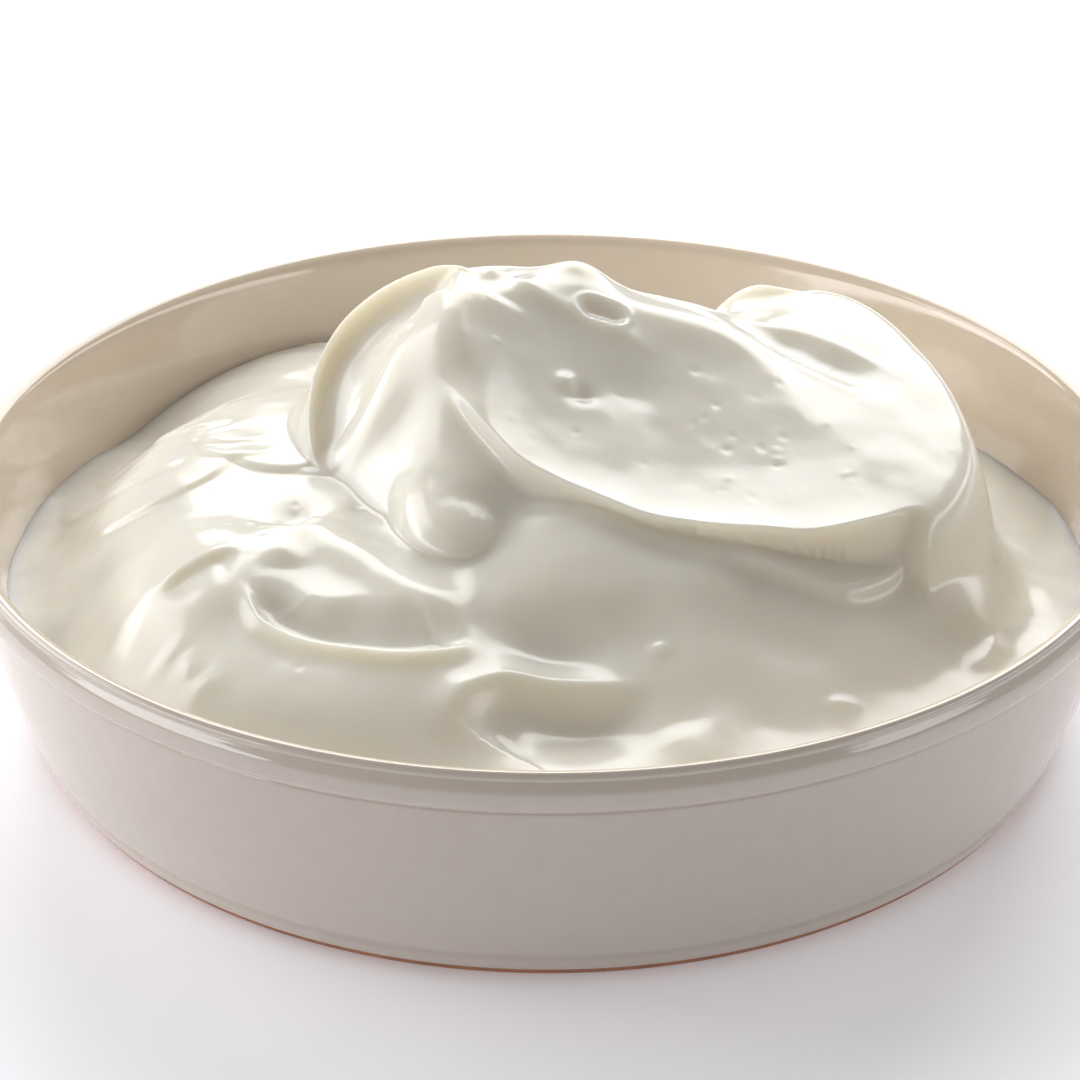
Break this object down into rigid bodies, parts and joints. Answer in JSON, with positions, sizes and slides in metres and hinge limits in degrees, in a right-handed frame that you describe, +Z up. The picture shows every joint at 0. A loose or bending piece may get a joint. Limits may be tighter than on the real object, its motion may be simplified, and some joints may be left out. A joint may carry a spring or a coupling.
{
  "type": "bowl of sour cream",
  "caption": "Shallow round glazed dish heaped with thick sour cream, its surface worked into spoon marks, folds and a soft peak.",
  "frame": {"origin": "centre of the dish's flat base, where it stands", "axes": "+Z up, +X to the right as seen in the picture, +Y away from the viewer"},
  "size_m": [0.14, 0.14, 0.0507],
  "materials": {
    "glazed_dish": "pale beige gloss glaze over terracotta, bare clay line at the foot",
    "cream": "wet, soft white with a faint warm tone in the hollows"
  },
  "bodies": {
    "root": {"bowl": "glazed_dish", "sour_cream": "cream"}
  },
  "joints": []
}
